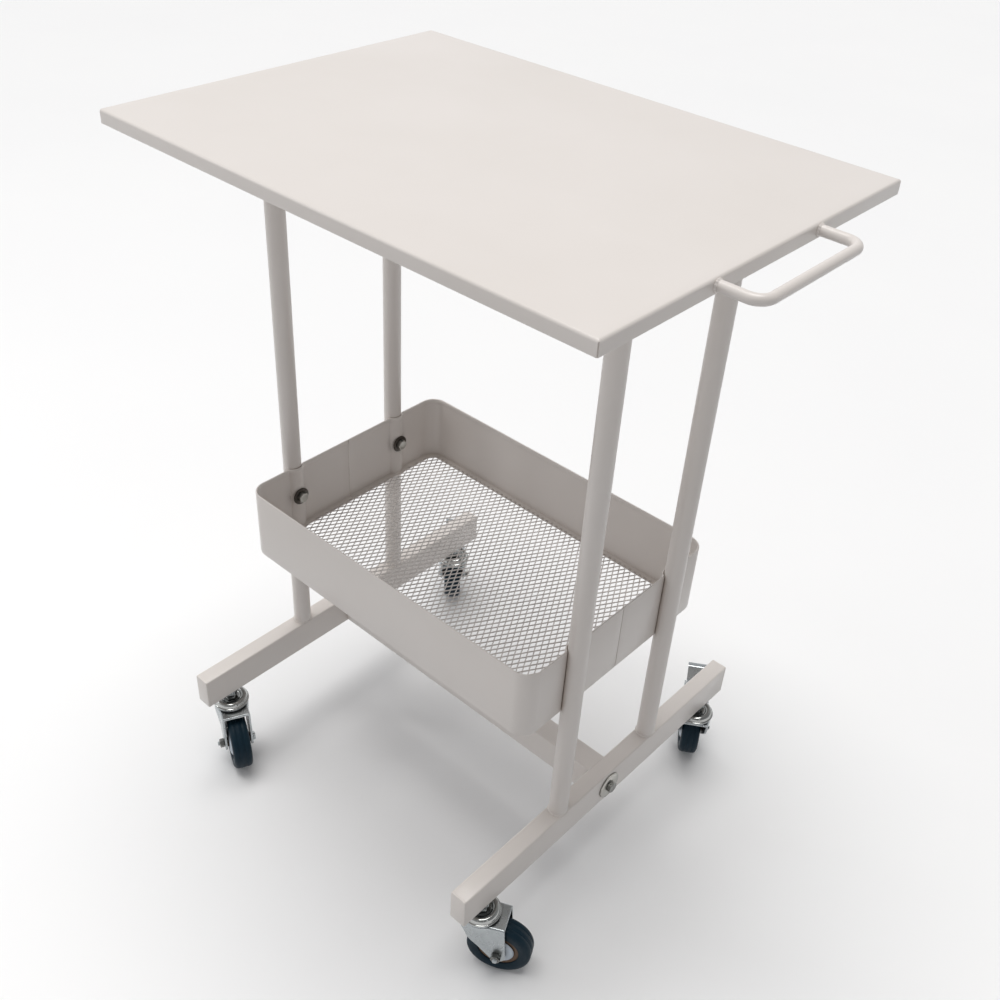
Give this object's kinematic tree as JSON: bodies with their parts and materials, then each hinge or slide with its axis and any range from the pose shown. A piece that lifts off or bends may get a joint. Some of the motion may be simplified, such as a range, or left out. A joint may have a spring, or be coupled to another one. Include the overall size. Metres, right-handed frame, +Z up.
{
  "type": "instrument cart",
  "caption": "Wheeled instrument cart with a flat folded top, side push handle, tubular end frames, a hung basket with a mesh floor and swivel casters, rear ones with brakes.",
  "frame": {"origin": "on the floor, below the centre of the tabletop and midway between the four caster stems", "axes": "+Z up; +X along the long side toward the handle; +Y from the front to the rear side with the braked casters"},
  "size_m": [0.645, 0.5302, 0.835],
  "materials": {
    "powder_coat": "glossy warm off-white powder coat",
    "stainless": "plain stainless fasteners",
    "zinc_plate": "bright zinc plate, faintly blue",
    "tyre_rubber": "satin blue-black rubber",
    "core_brown": "brown moulded wheel centre",
    "guard_grey": "light blue-grey moulded thread guard"
  },
  "bodies": {
    "cart_frame": {"tabletop": "powder_coat", "handle": "powder_coat", "crossbar": "powder_coat", "crossbar_end_plates": "powder_coat", "basket_front_half": "powder_coat", "basket_rear_half": "powder_coat", "basket_mesh": "powder_coat", "top_stiffener_left": "powder_coat", "top_stiffener_right": "powder_coat", "leg_left": "powder_coat", "leg_right": "powder_coat", "post_front_left": "powder_coat", "post_front_right": "powder_coat", "post_rear_left": "powder_coat", "post_rear_right": "powder_coat", "crossbar_bolts": "stainless", "crossbar_washers": "stainless", "basket_bolts": "stainless", "basket_washers": "stainless", "basket_rivet_nuts": "zinc_plate", "caster_lock_nuts": "zinc_plate", "leg_weld_nuts": "zinc_plate", "front_left_caster_stem": "zinc_plate", "front_left_caster_upper_race": "zinc_plate", "front_right_caster_stem": "zinc_plate", "front_right_caster_upper_race": "zinc_plate", "rear_left_caster_stem": "zinc_plate", "rear_left_caster_upper_race": "zinc_plate", "rear_right_caster_stem": "zinc_plate", "rear_right_caster_upper_race": "zinc_plate"},
    "front_left_caster_swivel": {"front_left_caster_fork": "zinc_plate", "front_left_caster_axle_bolt": "zinc_plate", "front_left_caster_axle_nut": "zinc_plate"},
    "front_left_caster_wheel": {"front_left_caster_tyre": "tyre_rubber", "front_left_caster_wheel_core": "core_brown", "front_left_caster_hub_guards": "guard_grey"},
    "front_right_caster_swivel": {"front_right_caster_fork": "zinc_plate", "front_right_caster_axle_bolt": "zinc_plate", "front_right_caster_axle_nut": "zinc_plate"},
    "front_right_caster_wheel": {"front_right_caster_tyre": "tyre_rubber", "front_right_caster_wheel_core": "core_brown", "front_right_caster_hub_guards": "guard_grey"},
    "rear_left_caster_swivel": {"rear_left_caster_fork": "zinc_plate", "rear_left_caster_axle_bolt": "zinc_plate", "rear_left_caster_axle_nut": "zinc_plate", "rear_left_caster_pedal_pivot_pin": "zinc_plate"},
    "rear_left_caster_wheel": {"rear_left_caster_tyre": "tyre_rubber", "rear_left_caster_wheel_core": "core_brown", "rear_left_caster_hub_guards": "guard_grey"},
    "rear_left_caster_brake": {"rear_left_caster_brake_pedal": "zinc_plate"},
    "rear_right_caster_swivel": {"rear_right_caster_fork": "zinc_plate", "rear_right_caster_axle_bolt": "zinc_plate", "rear_right_caster_axle_nut": "zinc_plate", "rear_right_caster_pedal_pivot_pin": "zinc_plate"},
    "rear_right_caster_wheel": {"rear_right_caster_tyre": "tyre_rubber", "rear_right_caster_wheel_core": "core_brown", "rear_right_caster_hub_guards": "guard_grey"},
    "rear_right_caster_brake": {"rear_right_caster_brake_pedal": "zinc_plate"}
  },
  "joints": [
    {"name": "front_left_caster_swivel_turn", "type": "hinge", "parent": "cart_frame", "child": "front_left_caster_swivel", "pos_m": [-0.2225, -0.207, 0.086], "axis": [0, 0, 1], "continuous": true},
    {"name": "front_left_caster_wheel_spin", "type": "hinge", "parent": "front_left_caster_swivel", "child": "front_left_caster_wheel", "pos_m": [-0.20003, -0.21796, 0.0375], "axis": [0.4384, 0.8988, 0], "continuous": true},
    {"name": "front_right_caster_swivel_turn", "type": "hinge", "parent": "cart_frame", "child": "front_right_caster_swivel", "pos_m": [0.2225, -0.207, 0.086], "axis": [0, 0, 1], "continuous": true},
    {"name": "front_right_caster_wheel_spin", "type": "hinge", "parent": "front_right_caster_swivel", "child": "front_right_caster_wheel", "pos_m": [0.24477, -0.19565, 0.0375], "axis": [-0.454, 0.891, 0], "continuous": true},
    {"name": "rear_left_caster_swivel_turn", "type": "hinge", "parent": "cart_frame", "child": "rear_left_caster_swivel", "pos_m": [-0.2225, 0.207, 0.086], "axis": [0, 0, 1], "continuous": true},
    {"name": "rear_left_caster_wheel_spin", "type": "hinge", "parent": "rear_left_caster_swivel", "child": "rear_left_caster_wheel", "pos_m": [-0.23955, 0.22528, 0.0375], "axis": [-0.7314, -0.682, 0], "continuous": true},
    {"name": "rear_left_caster_brake_press", "type": "hinge", "parent": "rear_left_caster_swivel", "child": "rear_left_caster_brake", "pos_m": [-0.2375, 0.22309, 0.0785], "axis": [-0.7314, -0.682, 0], "range_deg": [0, 10]},
    {"name": "rear_right_caster_swivel_turn", "type": "hinge", "parent": "cart_frame", "child": "rear_right_caster_swivel", "pos_m": [0.2225, 0.207, 0.086], "axis": [0, 0, 1], "continuous": true},
    {"name": "rear_right_caster_wheel_spin", "type": "hinge", "parent": "rear_right_caster_swivel", "child": "rear_right_caster_wheel", "pos_m": [0.20888, 0.22797, 0.0375], "axis": [-0.8387, -0.5446, 0], "continuous": true},
    {"name": "rear_right_caster_brake_press", "type": "hinge", "parent": "rear_right_caster_swivel", "child": "rear_right_caster_brake", "pos_m": [0.21052, 0.22545, 0.0785], "axis": [-0.8387, -0.5446, 0], "range_deg": [0, 10]}
  ]
}
